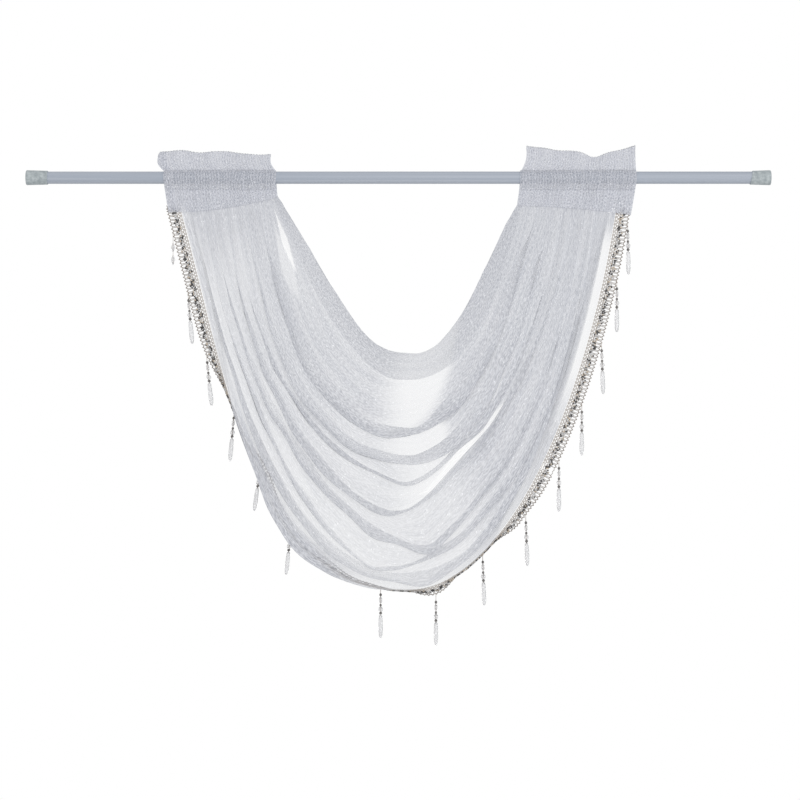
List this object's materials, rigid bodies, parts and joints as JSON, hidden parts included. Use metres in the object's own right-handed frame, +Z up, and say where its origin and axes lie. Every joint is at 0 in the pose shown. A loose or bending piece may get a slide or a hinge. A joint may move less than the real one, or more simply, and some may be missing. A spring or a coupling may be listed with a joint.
{
  "type": "waterfall valance on a tension rod",
  "caption": "Sheer crinkled voile waterfall valance swagged between two rod-pocket headings on a round tension rod, with a beaded braid and clear drop pendants along its hem",
  "frame": {"origin": "on the rod's axis, at the middle of its length", "axes": "+X along the rod, +Z up, -Y towards the room"},
  "size_m": [0.968, 0.0745, 0.6471],
  "materials": {
    "rod_paint": "satin",
    "cap_rubber": "matte",
    "heading_voile": "sheer crinkled voile, doubled",
    "swag_voile": "sheer crinkled voile",
    "braid": "woven braid with beads",
    "clear_drop": "clear polished",
    "dark_bead": "polished"
  },
  "bodies": {
    "root": {"rod_tube": "rod_paint", "rod_cap_left": "cap_rubber", "rod_cap_right": "cap_rubber", "heading_left": "heading_voile", "heading_right": "heading_voile", "swag": "swag_voile", "trim_left": "braid", "trim_lower_left": "braid", "trim_lower_right": "braid", "trim_right": "braid"}
  },
  "joints": []
}
